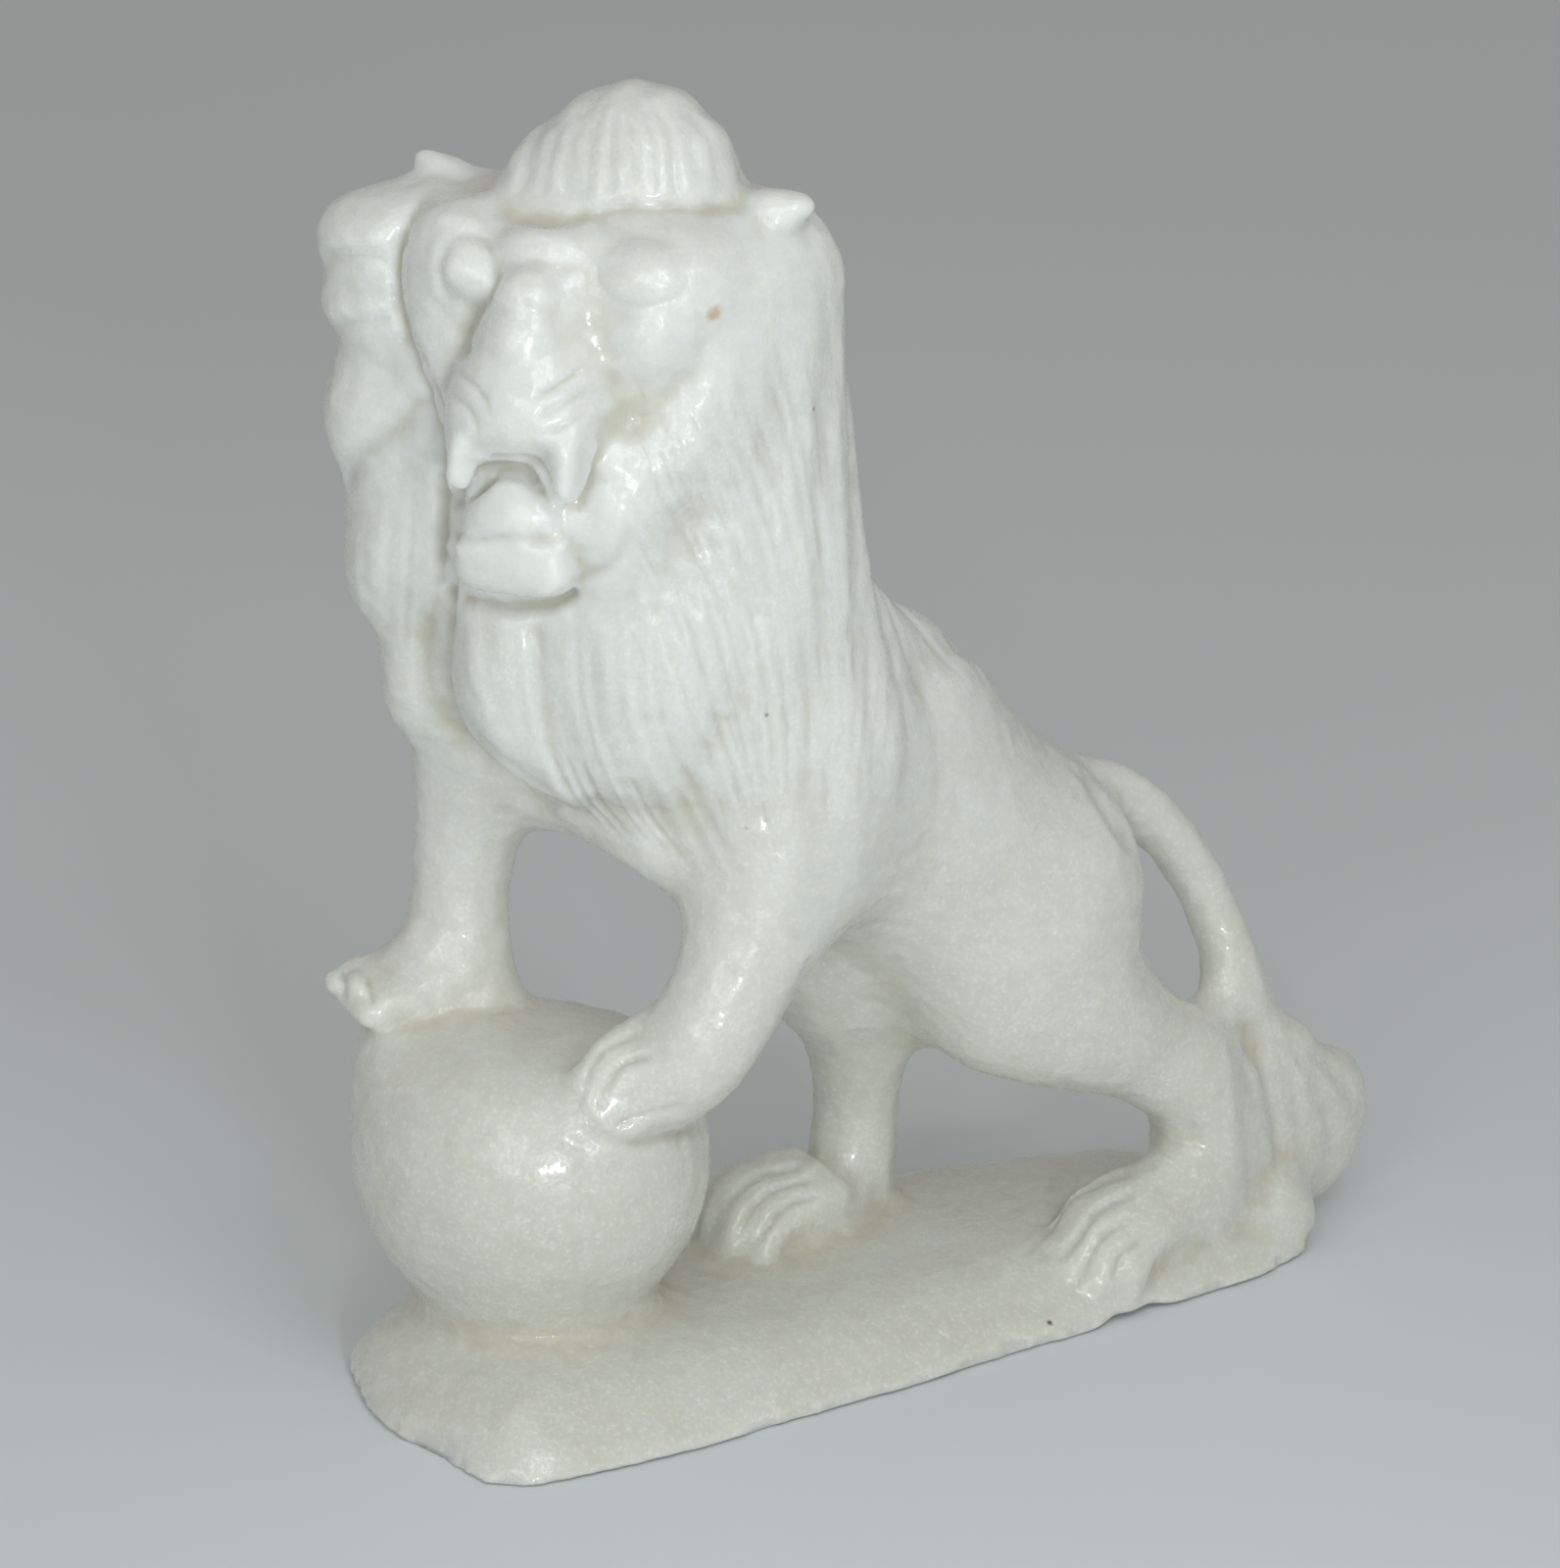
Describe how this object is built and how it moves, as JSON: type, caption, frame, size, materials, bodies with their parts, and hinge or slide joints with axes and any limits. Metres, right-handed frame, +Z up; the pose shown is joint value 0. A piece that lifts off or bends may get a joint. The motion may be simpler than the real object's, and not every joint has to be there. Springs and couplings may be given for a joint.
{
  "type": "stone lion statue",
  "caption": "Small carved marble lion with a long mane and a topknot, standing with both forepaws on a ball, on a low rounded base.",
  "frame": {"origin": "centre of the bounding box's underside, on the surface that the base rests on", "axes": "+Z up; -Y is where the lion's body points, with the ball at the -Y end; +X is the lion's left side, the one the picture shows"},
  "size_m": [0.0516, 0.1166, 0.1296],
  "materials": {
    "marble": "polished white marble"
  },
  "bodies": {
    "root": {"lion_statue": "marble"}
  },
  "joints": []
}
